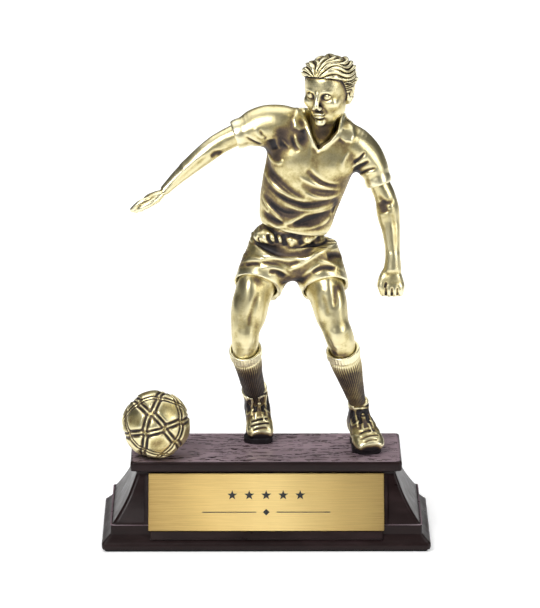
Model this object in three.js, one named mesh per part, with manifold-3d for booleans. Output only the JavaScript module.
// A football trophy: a player and a ball in brass-finished cast resin, pinned together and bolted to a
// hollow plinth with an engraving plate on its front panel.
//
// Millimetres, +Z up, front towards -Y. The origin is the centre of the underside.
// "Right" and "left" are the player's own: the right arm and leg are on the -X side.

import * as THREE from "three";
import { mergeVertices } from "three/addons/utils/BufferGeometryUtils.js";
import Module from "manifold-3d";

const wasm = await Module();
wasm.setup();

// ---------------------------------------------------------------- driving dimensions

const GAP = 0.3; // clearance between castings, and round every pin
const REST = 0.05; // glue line under a piece that lies flat on another

const FOOT_LENGTH = 106.4;
const FOOT_DEPTH = 53.0;
const PLINTH_TOP = 27.8;
const FELT_THICKNESS = 0.6;
const FELT_MARGIN = 1.0;
const BOARD_THICKNESS = 2.0;
const BOARD_MARGIN = 4.0;
const SLAB_UNDERSIDE = 24.4;
const CAVITY_ROOF = 22.6;
const CORNER_RADIUS = 1.2;

// The plinth's outline is the same on all four sides: [distance in from the foot's edge, height].
const PLINTH_PROFILE = [
  [0.7, FELT_THICKNESS + REST],
  [0.0, 1.5],
  [0.0, 2.6],
  [0.7, 3.3],
  [2.7, 5.3],
  [2.7, 8.3],
  [3.6, 8.7],
  [5.2, 10.9],
  [6.9, 13.6],
  [8.6, 16.8],
  [10.0, 20.2],
  [10.8, 22.3],
  [11.1, 23.2],
  [11.1, 23.8],
  [9.8, SLAB_UNDERSIDE],
  [9.2, SLAB_UNDERSIDE + 0.7],
  [9.2, PLINTH_TOP - 1.1],
  [9.5, PLINTH_TOP - 0.4],
  [10.2, PLINTH_TOP],
];
const CAVITY_FOOT_INSET = 8.0;
const CAVITY_ROOF_INSET = 14.6;

// The flat panel leans back from the top of the foot's band to the underside of the slab.
const PANEL_LEAN = (29 * Math.PI) / 180;
const PANEL_LENGTH = 79.0;
const PANEL_FOOT = [-23.8, 8.3];
const PANEL_BACK_Y = -13.6;
const PANEL_TOE_LENGTH = 75.4;
const PANEL_TOE_BOTTOM = 4.2;
const PLATE_LENGTH = 76.2;
const PLATE_HEIGHT = 19.05;
const PLATE_THICKNESS = 0.5;
const PLATE_BELOW_FOOT = 1.9; // how far the plate reaches down past the foot of the panel, along the lean
const TAPE_THICKNESS = 0.2;
const TAPE_MARGIN = 1.0;

const BALL_RADIUS = 11.1;
const BALL_FLAT = 0.15; // depth of the flat that the ball is glued down on
const BALL_AT = [-35.7, -12.0];

const PIN_RADIUS = 0.9;
const STUD_RADIUS = 1.25;
const WASHER_RADIUS = 3.0;
const WASHER_THICKNESS = 0.5;
const NUT_ACROSS_FLATS = 5.0;
const NUT_HEIGHT = 2.0;
const STUD_BOTTOM = 19.2;
const STUD_TOP = 36.0;
const RIGHT_STUD_AT = [-2.0, 7.2];
const LEFT_STUD_AT = [30.6, 2.6];

const SOLE_THICKNESS = 1.7;
const SOLE_BOTTOM = PLINTH_TOP + REST;

// The right heel is lifted: behind HEEL_HINGE_Y its sole rises at this angle.
const HEEL_LIFT = (12 * Math.PI) / 180;
const HEEL_HINGE_Y = 8.6;

// The skull, face, hair and nose are ovals: [centre, radii].
const HEAD_TURN = -0.45;
const HEAD_NOD = 0.12;
const HEAD_OVALS = [
  [[19.8, -1.9, 150.2], [7.4, 8.8, 8.4]],
  [[19.2, -4.2, 145.2], [5.6, 6.2, 7.4]],
  [[20.1, -1.2, 151.8], [8.1, 8.9, 7.3]],
  [[16.8, -9.4, 145.2], [1.0, 1.6, 1.9]],
];

// The open neck of the shirt is cut with a wedge: its outline from the front, its place and its depth.
const NECK_NOTCH = [[-3.4, 7], [3.4, 7], [0.2, -3.2]];
const NECK_NOTCH_AT = [17.6, -3.6, 132.6];
const NECK_NOTCH_DEPTH = 12;

// The edge of each shorts leg is tilted, highest in front: its outer, front and inner points.
const RIGHT_HEM = [[-10.6, -1.0, 84.6], [-2.3, -9.6, 88.6], [4.6, -1.5, 79.0]];
const LEFT_HEM = [[27.2, -1.0, 83.6], [19.0, -9.4, 88.0], [10.8, -1.5, 79.0]];

// Straight steel pins: [one end, other end].
const PINS = {
  neck_pin: [[17.0, 0.8, 125.5], [18.2, 0.0, 135.2]],
  right_arm_pin: [[-3.4, -0.4, 134.6], [-14.6, -1.7, 130.5]],
  left_arm_pin: [[33.7, -0.7, 123.6], [37.7, -2.0, 112.9]],
  waist_pin: [[8.9, 1.4, 95.0], [10.0, 0.7, 108.5]],
  right_hip_pin: [[0.4, 1.0, 91.5], [-4.7, -3.2, 78.3]],
  left_hip_pin: [[16.2, 1.0, 91.5], [20.1, -2.4, 78.3]],
  right_shin_pin: [[-2.9, 11.9, 37.5], [-6.8, -5.4, 62.6]],
  left_shin_pin: [[30.3, 5.2, 37.5], [24.9, -5.6, 62.6]],
  ball_pin: [[...BALL_AT, SLAB_UNDERSIDE], [...BALL_AT, 34.5]],
};

// Every limb is a row of oval sections: [x, y, z, half width along `across`, half width the other way].
const TRUNK = [
  [9.0, 0.9, 101.4, 10.8, 7.9],
  [9.4, 0.8, 103.4, 11.6, 8.4],
  [9.9, 0.4, 106.0, 12.1, 8.5],
  [10.8, 0.0, 111.0, 12.8, 8.6],
  [12.2, -0.4, 116.5, 13.4, 9.2],
  [13.9, -0.6, 122.5, 14.2, 9.7],
  [15.6, -0.2, 128.0, 15.0, 9.2],
  [17.0, 0.3, 132.0, 12.6, 7.6],
  [18.0, 0.5, 134.8, 7.4, 5.6],
];
const RIGHT_SLEEVE = [
  [13.0, 0.2, 130.2, 7.4, 6.6],
  [6.5, 0.0, 133.0, 7.2, 7.0],
  [1.2, -0.3, 134.5, 6.6, 6.4],
  [-4.6, -0.8, 134.2, 5.9, 5.4],
  [-10.2, -1.2, 132.4, 5.3, 4.3],
];
const LEFT_SLEEVE = [
  [20.0, 0.2, 130.0, 7.2, 6.8],
  [26.6, 0.0, 129.2, 7.2, 6.6],
  [31.6, -0.4, 126.0, 6.4, 5.7],
  [34.8, -1.0, 121.4, 5.6, 4.7],
  [36.6, -1.8, 116.2, 5.0, 3.9],
];
const COLLAR = [
  [17.4, -0.2, 131.2, 8.6, 7.2],
  [18.1, -0.2, 134.6, 7.0, 6.2],
  [18.6, 0.2, 137.6, 5.7, 5.4],
];
const NECK = [
  [17.4, 0.8, 129.6, 3.9, 4.0],
  [18.0, 0.4, 134.0, 4.0, 4.2],
  [18.6, -0.4, 138.5, 4.1, 4.6],
  [19.1, -1.8, 143.0, 3.8, 4.2],
];
const RIGHT_ARM = [
  [-5.6, -0.9, 133.9, 3.7, 3.4],
  [-10.4, -1.2, 132.2, 3.8, 3.5],
  [-15.6, -2.0, 129.5, 3.6, 3.5],
  [-19.6, -3.0, 126.5, 3.4, 3.2],
  [-24.4, -4.0, 122.8, 2.9, 2.7],
  [-28.4, -4.8, 119.4, 2.5, 2.2],
  [-32.9, -6.0, 115.1, 2.0, 1.6],
  [-36.0, -6.6, 113.5, 3.2, 1.9],
  [-39.2, -7.2, 112.0, 3.8, 1.9],
  [-42.0, -7.7, 110.2, 3.5, 1.6],
  [-43.6, -8.0, 108.2, 2.4, 1.0],
];
const RIGHT_THUMB = [
  [-35.0, -8.2, 113.4, 1.2, 1.2],
  [-37.2, -10.4, 111.6, 1.3, 1.2],
  [-39.4, -11.2, 109.8, 0.9, 0.9],
];
const LEFT_ARM = [
  [35.1, -1.2, 120.4, 3.5, 3.3],
  [36.8, -1.8, 116.0, 3.5, 3.3],
  [38.3, -2.2, 112.6, 3.7, 3.5],
  [39.2, -2.6, 108.8, 3.7, 3.6],
  [39.8, -3.2, 105.2, 3.4, 3.3],
  [40.3, -4.2, 101.5, 3.1, 2.9],
  [40.7, -5.4, 97.0, 2.8, 2.5],
  [40.8, -6.6, 92.4, 2.6, 2.4],
  [40.7, -7.2, 89.6, 3.0, 2.9],
  [40.4, -7.8, 86.2, 4.0, 4.0],
  [40.2, -8.0, 82.9, 3.9, 4.2],
  [40.2, -8.0, 80.7, 2.4, 2.6],
];
const PELVIS = [
  [9.2, 1.0, 105.0, 8.2, 5.9],
  [8.9, 1.3, 102.4, 9.5, 6.8],
  [8.5, 1.6, 99.8, 10.6, 7.6],
  [8.0, 2.0, 96.8, 13.0, 8.8],
  [8.3, 2.0, 93.6, 14.8, 9.6],
  [8.4, 1.8, 90.0, 15.2, 9.6],
  [8.4, 1.5, 86.4, 13.0, 8.2],
  [8.6, 1.4, 83.6, 8.0, 5.4],
];
const RIGHT_SHORTS_LEG = [
  [2.4, 1.6, 91.8, 8.4, 9.2],
  [-0.4, 0.4, 87.2, 8.2, 8.9],
  [-2.9, -1.4, 81.8, 7.7, 8.1],
  [-3.8, -2.2, 78.0, 7.6, 8.0],
];
const LEFT_SHORTS_LEG = [
  [14.6, 1.6, 91.8, 8.4, 9.2],
  [17.1, 0.7, 87.2, 8.2, 8.9],
  [19.2, -0.8, 81.8, 7.7, 8.1],
  [20.0, -1.6, 78.0, 7.6, 8.0],
];
const RIGHT_THIGH = [
  [-1.8, -0.6, 85.4, 6.0, 6.4],
  [-3.4, -1.8, 81.8, 6.1, 6.6],
  [-4.9, -3.6, 78.3, 5.7, 6.3],
  [-6.0, -5.0, 75.2, 5.0, 5.8],
  [-6.5, -6.0, 72.2, 4.6, 5.3],
  [-6.7, -6.7, 69.2, 4.7, 5.0],
  [-6.8, -6.5, 65.8, 4.5, 4.8],
  [-6.8, -5.5, 62.6, 4.1, 4.3],
  [-6.4, -4.1, 59.9, 3.7, 4.0],
];
const LEFT_THIGH = [
  [17.8, -0.1, 85.4, 6.0, 6.4],
  [18.9, -1.1, 81.8, 6.3, 6.6],
  [20.1, -2.9, 78.3, 5.8, 6.3],
  [21.0, -4.7, 75.2, 5.1, 5.8],
  [21.8, -5.8, 72.2, 4.7, 5.3],
  [22.8, -6.6, 69.2, 4.8, 5.0],
  [24.0, -6.5, 65.8, 4.6, 4.8],
  [24.8, -5.7, 62.6, 4.1, 4.3],
  [25.3, -4.6, 59.6, 3.7, 4.0],
];
const RIGHT_SOCK = [
  [-6.8, -5.4, 62.6, 5.1, 5.2],
  [-6.5, -3.8, 60.0, 5.1, 5.2],
  [-5.9, -1.6, 57.2, 4.6, 4.9],
  [-5.2, 2.2, 52.6, 4.0, 4.6],
  [-4.4, 6.2, 47.9, 3.7, 4.0],
  [-3.5, 9.4, 43.4, 3.4, 3.6],
  [-3.1, 10.9, 40.4, 3.2, 3.4],
];
const LEFT_SOCK = [
  [24.8, -5.6, 62.6, 5.3, 5.2],
  [25.3, -4.3, 59.9, 5.3, 5.2],
  [26.2, -2.6, 56.5, 4.8, 4.9],
  [27.4, -0.4, 52.0, 4.1, 4.6],
  [28.5, 1.7, 47.4, 3.4, 4.0],
  [29.6, 3.4, 43.4, 2.8, 3.3],
  [30.1, 4.4, 40.4, 2.6, 3.1],
];

// A boot's upper runs from heel to toe, and its collar from the heel up: [x, y, z, half width, half height].
const RIGHT_UPPER = [
  [-3.0, 17.4, 35.4, 1.9, 2.2],
  [-3.0, 16.2, 36.8, 3.4, 4.2],
  [-2.9, 13.2, 37.8, 4.0, 5.2],
  [-2.5, 10.0, 35.6, 4.2, 4.8],
  [-2.0, 7.0, 33.2, 4.4, 3.8],
  [-1.7, 4.8, 31.5, 4.3, 2.5],
  [-1.6, 3.6, 30.8, 2.9, 1.5],
];
const LEFT_UPPER = [
  [29.6, 9.3, 32.2, 1.9, 2.0],
  [29.9, 8.0, 33.6, 3.5, 4.2],
  [30.7, 4.4, 34.8, 4.0, 5.2],
  [31.8, 0.3, 33.6, 4.5, 4.4],
  [33.0, -4.2, 32.0, 5.1, 3.4],
  [33.8, -8.0, 31.2, 4.8, 2.7],
  [34.2, -9.8, 30.6, 3.1, 1.5],
];
const RIGHT_BOOT_COLLAR = [
  [-2.9, 13.0, 38.0, 3.9, 4.6],
  [-3.2, 11.2, 42.0, 4.1, 4.5],
  [-3.9, 8.8, 45.4, 4.3, 4.5],
];
const LEFT_BOOT_COLLAR = [
  [30.4, 5.6, 35.0, 3.6, 4.5],
  [30.4, 4.9, 39.4, 3.4, 4.2],
  [30.1, 3.9, 42.4, 3.4, 4.0],
];
// A sole has a middle, a length, and a turn about the vertical.
const RIGHT_SOLE = [[-2.3, 11.0], 16.2, -0.04];
const LEFT_SOLE = [[31.9, -0.4], 18.6, 0.2];

// ---------------------------------------------------------------- materials

const material = (color, metalness, roughness) =>
  new THREE.MeshStandardMaterial({ color, metalness, roughness });
const brassFinish = () => material(0xb89a55, 0.85, 0.38);
const steel = () => material(0xa9abad, 1.0, 0.35);

// ---------------------------------------------------------------- solids

function toSolid(geometry) {
  const bare = geometry.clone();
  for (const name of Object.keys(bare.attributes)) {
    if (name !== "position") {
      bare.deleteAttribute(name);
    }
  }
  const merged = mergeVertices(bare, 1e-4);
  const mesh = new wasm.Mesh({
    numProp: 3,
    vertProperties: new Float32Array(merged.attributes.position.array),
    triVerts: new Uint32Array(merged.index.array),
  });
  return new wasm.Manifold(mesh);
}

function toGeometry(solid) {
  const { vertProperties, triVerts } = solid.getMesh();
  const geometry = new THREE.BufferGeometry();
  geometry.setAttribute("position", new THREE.BufferAttribute(vertProperties, 3));
  geometry.setIndex(new THREE.BufferAttribute(triVerts, 1));
  geometry.computeVertexNormals();
  return geometry;
}

function moved(geometry, [x, y, z]) {
  return geometry.translate(x, y, z);
}

// A round or faceted bar from one point to another.
function bar(start, end, radius, sides = 8) {
  const from = new THREE.Vector3(...start);
  const along = new THREE.Vector3(...end).sub(from);
  const geometry = new THREE.CylinderGeometry(radius, radius, along.length(), sides);
  const turn = new THREE.Quaternion().setFromUnitVectors(
    new THREE.Vector3(0, 1, 0),
    along.clone().normalize(),
  );
  geometry.applyQuaternion(turn);
  const middle = from.addScaledVector(along, 0.5);
  return toSolid(moved(geometry, middle.toArray()));
}

// A closed limb through oval sections. `grow` makes it fatter and longer, to cut a socket with.
function limb(sections, { across = [1, 0, 0], sides = 12, steps = 2, grow = 0 } = {}) {
  const centres = new THREE.CatmullRomCurve3(sections.map(([x, y, z]) => new THREE.Vector3(x, y, z)));
  const widths = new THREE.CatmullRomCurve3(sections.map(([, , , a, b]) => new THREE.Vector3(a, b, 0)));
  const rings = steps * (sections.length - 1);
  const geometry = new THREE.CylinderGeometry(1, 1, 1, sides, rings);
  const position = geometry.attributes.position;
  const point = new THREE.Vector3();
  for (let i = 0; i < position.count; i += 1) {
    point.fromBufferAttribute(position, i);
    const t = THREE.MathUtils.clamp(0.5 - point.y, 0, 1);
    const along = centres.getTangent(t);
    const centre = centres.getPoint(t);
    const width = widths.getPoint(t);
    const first = new THREE.Vector3(...across);
    first.addScaledVector(along, -first.dot(along)).normalize();
    const second = new THREE.Vector3().crossVectors(along, first);
    centre.addScaledVector(first, point.x * (width.x + grow));
    centre.addScaledVector(second, point.z * (width.y + grow));
    const past = t === 0 ? -grow : t === 1 ? grow : 0;
    centre.addScaledVector(along, past);
    position.setXYZ(i, ...centre.toArray());
  }
  return toSolid(geometry);
}

function ellipsoid(centre, radii, turn = [0, 0, 0], segments = [14, 9]) {
  const geometry = new THREE.SphereGeometry(1, ...segments);
  geometry.scale(...radii);
  geometry.rotateX(turn[0]).rotateY(turn[1]).rotateZ(turn[2]);
  return toSolid(moved(geometry, centre));
}

const joined = (solids) => solids.reduce((whole, solid) => whole.add(solid));

// Blind holes for the pins and studs that a casting takes, with clearance all round.
function bored(solid, rods) {
  return rods.reduce((whole, [start, end, radius]) => {
    const from = new THREE.Vector3(...start);
    const to = new THREE.Vector3(...end);
    const past = to.clone().sub(from).setLength(GAP);
    const hole = bar(from.sub(past).toArray(), to.add(past).toArray(), radius + GAP);
    return whole.subtract(hole);
  }, solid);
}

const pinRod = (name) => [...PINS[name], PIN_RADIUS];
const studRod = (at) => [[...at, STUD_BOTTOM], [...at, STUD_TOP], STUD_RADIUS];

// ---------------------------------------------------------------- the player

const ACROSS_DEPTH = { across: [0, 1, 0] };

const neck = (grow) => limb(NECK, { grow });

function makeHead() {
  const turn = [HEAD_NOD, 0, HEAD_TURN];
  return joined([neck(0), ...HEAD_OVALS.map(([centre, radii]) => ellipsoid(centre, radii, turn))]);
}

function makeShirt() {
  const notch = new THREE.Shape(NECK_NOTCH.map(([x, y]) => new THREE.Vector2(x, y)));
  const wedge = new THREE.ExtrudeGeometry(notch, { depth: NECK_NOTCH_DEPTH, bevelEnabled: false });
  wedge.rotateX(Math.PI / 2);
  const cloth = joined([
    limb(TRUNK, { sides: 16 }),
    limb(RIGHT_SLEEVE, ACROSS_DEPTH),
    limb(LEFT_SLEEVE, ACROSS_DEPTH),
    limb(COLLAR),
  ]);
  const open = [
    toSolid(moved(wedge, NECK_NOTCH_AT)),
    neck(GAP),
    limb(RIGHT_ARM.slice(0, 3), { ...ACROSS_DEPTH, steps: 1, grow: GAP }),
    limb(LEFT_ARM.slice(0, 3), { ...ACROSS_DEPTH, steps: 1, grow: GAP }),
    limb(PELVIS.slice(0, 3), { sides: 16, grow: GAP }),
  ];
  return open.reduce((whole, cut) => whole.subtract(cut), cloth);
}

function makeRightArm() {
  return joined([limb(RIGHT_ARM, { ...ACROSS_DEPTH, steps: 1 }), limb(RIGHT_THUMB, { sides: 8 })]);
}

// Keeps what lies above the plane through three points.
function above(solid, [a, b, c]) {
  const plane = new THREE.Plane().setFromCoplanarPoints(
    new THREE.Vector3(...a),
    new THREE.Vector3(...b),
    new THREE.Vector3(...c),
  );
  if (plane.normal.z < 0) {
    plane.negate();
  }
  return solid.trimByPlane(plane.normal.toArray(), -plane.constant);
}

function makeShorts() {
  const cloth = joined([
    limb(PELVIS, { sides: 16 }),
    above(limb(RIGHT_SHORTS_LEG), RIGHT_HEM),
    above(limb(LEFT_SHORTS_LEG), LEFT_HEM),
  ]);
  return [RIGHT_THIGH, LEFT_THIGH]
    .map((thigh) => limb(thigh.slice(0, 4), { steps: 1, grow: GAP }))
    .reduce((whole, cut) => whole.subtract(cut), cloth);
}

function makeSock(sock, thigh) {
  return limb(sock, { steps: 1 }).subtract(limb(thigh.slice(-4), { steps: 1, grow: GAP }));
}

// Half of a sole's outline from toe to heel: [half width, distance from its middle as a share of half its length].
const SOLE_EDGE = [[2.6, -0.94], [4.3, -0.72], [4.7, -0.4], [4.2, -0.05], [3.4, 0.3], [3.2, 0.6], [2.7, 0.87]];

function makeSole([[x, y], length, turn], lifted) {
  const side = SOLE_EDGE.map(([width, share]) => new THREE.Vector2(width, (share * length) / 2));
  const mirror = side.map(({ x: width, y: along }) => new THREE.Vector2(-width, along)).reverse();
  const toe = new THREE.Vector2(0, -length / 2);
  const heel = new THREE.Vector2(0, length / 2);
  const shape = new THREE.Shape([toe, ...side, heel, ...mirror]);
  const geometry = new THREE.ExtrudeGeometry(shape, { depth: SOLE_THICKNESS, bevelEnabled: false });
  geometry.rotateZ(turn);
  const sole = toSolid(moved(geometry, [x, y, 0]));
  if (!lifted) {
    return sole.translate(0, 0, SOLE_BOTTOM);
  }
  const [rear, front] = sole.translate(0, -HEEL_HINGE_Y, 0).splitByPlane([0, 1, 0], 0);
  const raised = rear.rotate([(HEEL_LIFT * 180) / Math.PI, 0, 0]);
  return front.add(raised).translate(0, HEEL_HINGE_Y, SOLE_BOTTOM);
}

function makeBoot(upper, collar, sock, sole, stud) {
  const whole = joined([sole, limb(upper, { steps: 1 }), limb(collar, { steps: 1 })]);
  const above = whole.trimByPlane([0, 0, 1], SOLE_BOTTOM);
  return bored(above.subtract(limb(sock.slice(-4), { steps: 1, grow: GAP })), [stud]);
}

// ---------------------------------------------------------------- the plinth and the ball

// A rounded rectangle drawn in from the foot's edge by `inset`.
function rectangle(inset, radius) {
  const x = FOOT_LENGTH / 2 - inset;
  const y = FOOT_DEPTH / 2 - inset;
  const shape = new THREE.Shape();
  shape.moveTo(-x + radius, -y);
  shape.absarc(x - radius, -y + radius, radius, -Math.PI / 2, 0);
  shape.absarc(x - radius, y - radius, radius, 0, Math.PI / 2);
  shape.absarc(-x + radius, y - radius, radius, Math.PI / 2, Math.PI);
  shape.absarc(-x + radius, -y + radius, radius, Math.PI, 1.5 * Math.PI);
  return shape;
}

// A rectangular moulding: one ring for each [inset, height] of its profile.
function moulding(profile, radius) {
  const last = profile.length - 1;
  const geometry = new THREE.ExtrudeGeometry(rectangle(0, radius), {
    depth: last,
    steps: last,
    bevelEnabled: false,
    curveSegments: 3,
  });
  const position = geometry.attributes.position;
  for (let i = 0; i < position.count; i += 1) {
    const [inset, height] = profile[Math.round(position.getZ(i))];
    const x = position.getX(i);
    const y = position.getY(i);
    position.setXYZ(i, x - Math.sign(x) * inset, y - Math.sign(y) * inset, height);
  }
  return toSolid(geometry);
}

// A bar along X with the given outline, whose points are [y, z].
function prism(outline, length) {
  const shape = new THREE.Shape(outline.map(([y, z]) => new THREE.Vector2(y, z)));
  const geometry = new THREE.ExtrudeGeometry(shape, { depth: length, bevelEnabled: false });
  geometry.rotateX(Math.PI / 2).rotateZ(Math.PI / 2);
  return toSolid(moved(geometry, [-length / 2, 0, 0]));
}

function makePanel() {
  const [footY, footZ] = PANEL_FOOT;
  const rise = SLAB_UNDERSIDE + REST - footZ;
  const drop = footZ - PANEL_TOE_BOTTOM;
  const lean = Math.tan(PANEL_LEAN);
  const face = prism(
    [
      [footY, footZ - REST],
      [footY, footZ],
      [footY + rise * lean, footZ + rise],
      [PANEL_BACK_Y, footZ + rise],
      [PANEL_BACK_Y, footZ - REST],
    ],
    PANEL_LENGTH,
  );
  const toe = prism(
    [
      [footY - drop * lean, PANEL_TOE_BOTTOM],
      [footY, footZ],
      [PANEL_BACK_Y, footZ],
      [PANEL_BACK_Y, PANEL_TOE_BOTTOM],
    ],
    PANEL_TOE_LENGTH,
  );
  return face.add(toe);
}

function makePlinth() {
  const boardTop = FELT_THICKNESS + BOARD_THICKNESS + 3 * REST;
  const recess = moulding([[BOARD_MARGIN, 0], [BOARD_MARGIN, boardTop]], CORNER_RADIUS);
  const cavity = moulding(
    [[CAVITY_FOOT_INSET, 0], [CAVITY_FOOT_INSET, boardTop], [CAVITY_ROOF_INSET, CAVITY_ROOF]],
    CORNER_RADIUS,
  );
  const body = moulding(PLINTH_PROFILE, CORNER_RADIUS).add(makePanel()).subtract(recess).subtract(cavity);
  return bored(body, [pinRod("ball_pin"), studRod(RIGHT_STUD_AT), studRod(LEFT_STUD_AT)]);
}

function makeSheet(inset, bottom, thickness) {
  return moulding([[inset, bottom], [inset, bottom + thickness]], CORNER_RADIUS);
}

// A thin sheet lying on the leaning panel, with its back `lift` above the panel's face.
function onPanel(length, height, thickness, lift, margin) {
  const [footY, footZ] = PANEL_FOOT;
  const geometry = new THREE.BoxGeometry(length, thickness, height);
  const up = height / 2 - PLATE_BELOW_FOOT + margin;
  moved(geometry, [0, -lift - thickness / 2, up]).rotateX(-PANEL_LEAN);
  return toSolid(moved(geometry, [0, footY, footZ]));
}

function makePlate() {
  const lift = TAPE_THICKNESS + 2 * REST;
  return onPanel(PLATE_LENGTH, PLATE_HEIGHT, PLATE_THICKNESS, lift, 0);
}

function makeTape() {
  const length = PLATE_LENGTH - 2 * TAPE_MARGIN;
  const height = PLATE_HEIGHT - 2 * TAPE_MARGIN;
  return onPanel(length, height, TAPE_THICKNESS, REST, TAPE_MARGIN);
}

function makeBall() {
  const bottom = PLINTH_TOP + REST;
  const centre = [...BALL_AT, bottom + BALL_RADIUS - BALL_FLAT];
  const whole = ellipsoid(centre, [BALL_RADIUS, BALL_RADIUS, BALL_RADIUS], [0, 0, 0], [20, 13]);
  return bored(whole.trimByPlane([0, 0, 1], bottom), [pinRod("ball_pin")]);
}

function makeWasher([x, y]) {
  const top = CAVITY_ROOF - REST;
  const disc = bar([x, y, top - WASHER_THICKNESS], [x, y, top], WASHER_RADIUS, 16);
  return disc.subtract(bar([x, y, 0], [x, y, PLINTH_TOP], STUD_RADIUS + GAP));
}

function makeNut([x, y]) {
  const top = CAVITY_ROOF - WASHER_THICKNESS - 2 * REST;
  const radius = NUT_ACROSS_FLATS / Math.sqrt(3);
  const hexagon = bar([x, y, top - NUT_HEIGHT], [x, y, top], radius, 6);
  return hexagon.subtract(bar([x, y, 0], [x, y, PLINTH_TOP], STUD_RADIUS + GAP));
}

// ---------------------------------------------------------------- the assembly

const trophy = new THREE.Group();

function place(name, solid, finish) {
  const mesh = new THREE.Mesh(toGeometry(solid), finish);
  mesh.name = name;
  trophy.add(mesh);
}

const rightStud = studRod(RIGHT_STUD_AT);
const leftStud = studRod(LEFT_STUD_AT);
const rightSole = makeSole(RIGHT_SOLE, true);
const leftSole = makeSole(LEFT_SOLE, false);
const rightBoot = makeBoot(RIGHT_UPPER, RIGHT_BOOT_COLLAR, RIGHT_SOCK, rightSole, rightStud);
const leftBoot = makeBoot(LEFT_UPPER, LEFT_BOOT_COLLAR, LEFT_SOCK, leftSole, leftStud);

const castings = {
  head: [makeHead(), ["neck_pin"]],
  shirt: [makeShirt(), ["neck_pin", "right_arm_pin", "left_arm_pin", "waist_pin"]],
  right_arm: [makeRightArm(), ["right_arm_pin"]],
  left_arm: [limb(LEFT_ARM, { ...ACROSS_DEPTH, steps: 1 }), ["left_arm_pin"]],
  shorts: [makeShorts(), ["waist_pin", "right_hip_pin", "left_hip_pin"]],
  right_thigh: [limb(RIGHT_THIGH, { steps: 1 }), ["right_hip_pin", "right_shin_pin"]],
  left_thigh: [limb(LEFT_THIGH, { steps: 1 }), ["left_hip_pin", "left_shin_pin"]],
  right_sock: [makeSock(RIGHT_SOCK, RIGHT_THIGH), ["right_shin_pin"]],
  left_sock: [makeSock(LEFT_SOCK, LEFT_THIGH), ["left_shin_pin"]],
  right_boot: [rightBoot, ["right_shin_pin"]],
  left_boot: [leftBoot, ["left_shin_pin"]],
};
for (const [name, [solid, pins]] of Object.entries(castings)) {
  place(name, bored(solid, pins.map(pinRod)), brassFinish());
}
for (const [name, [start, end]] of Object.entries(PINS)) {
  place(name, bar(start, end, PIN_RADIUS), steel());
}
for (const [side, at] of [["right", RIGHT_STUD_AT], ["left", LEFT_STUD_AT]]) {
  place(`${side}_foot_stud`, bar([...at, STUD_BOTTOM], [...at, STUD_TOP], STUD_RADIUS), steel());
  place(`${side}_stud_washer`, makeWasher(at), steel());
  place(`${side}_stud_nut`, makeNut(at), steel());
}
place("ball", makeBall(), brassFinish());
place("plinth", makePlinth(), material(0x3a2a2c, 0.0, 0.35));
place("nameplate", makePlate(), material(0xd9b45c, 1.0, 0.3));
place("nameplate_adhesive", makeTape(), material(0xe8e4d8, 0.0, 0.8));
const boardBottom = FELT_THICKNESS + REST;
place(
  "base_board",
  makeSheet(BOARD_MARGIN + GAP, boardBottom, BOARD_THICKNESS),
  material(0x6b4a33, 0.0, 0.9),
);
place("felt_pad", makeSheet(FELT_MARGIN, 0, FELT_THICKNESS), material(0x1e1e20, 0.0, 1.0));

export default trophy;
